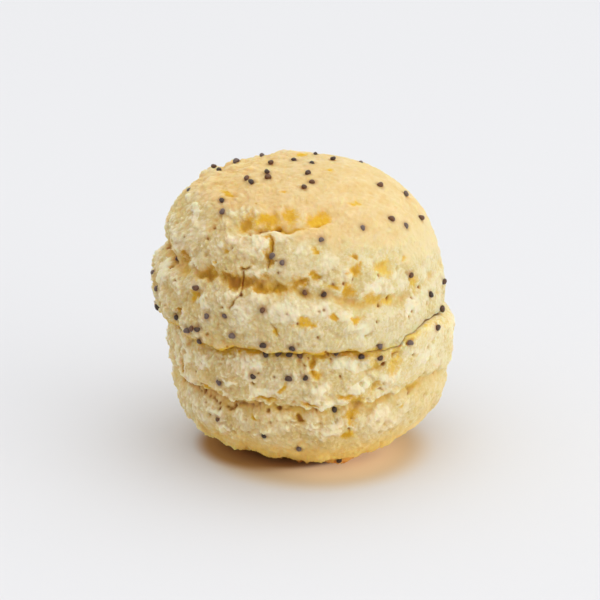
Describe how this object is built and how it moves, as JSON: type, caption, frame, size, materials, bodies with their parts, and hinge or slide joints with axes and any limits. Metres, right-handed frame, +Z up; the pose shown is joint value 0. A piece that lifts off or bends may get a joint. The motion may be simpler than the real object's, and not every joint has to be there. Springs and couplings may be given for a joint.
{
  "type": "poppy seed macaron",
  "caption": "Rustic baked macaron: two craggy domed shells of pale dough set base to base, dotted with poppy seeds.",
  "frame": {"origin": "middle of the flat foot that the macaron stands on, the browned crown of the lower shell", "axes": "+Z up through the crowns of both shells, -Y towards the torn front that the picture shows, +X to the right of it"},
  "size_m": [0.0516, 0.0499, 0.0503],
  "materials": {
    "dough": "matte"
  },
  "bodies": {
    "root": {"upper_shell": "dough", "lower_shell": "dough"}
  },
  "joints": []
}
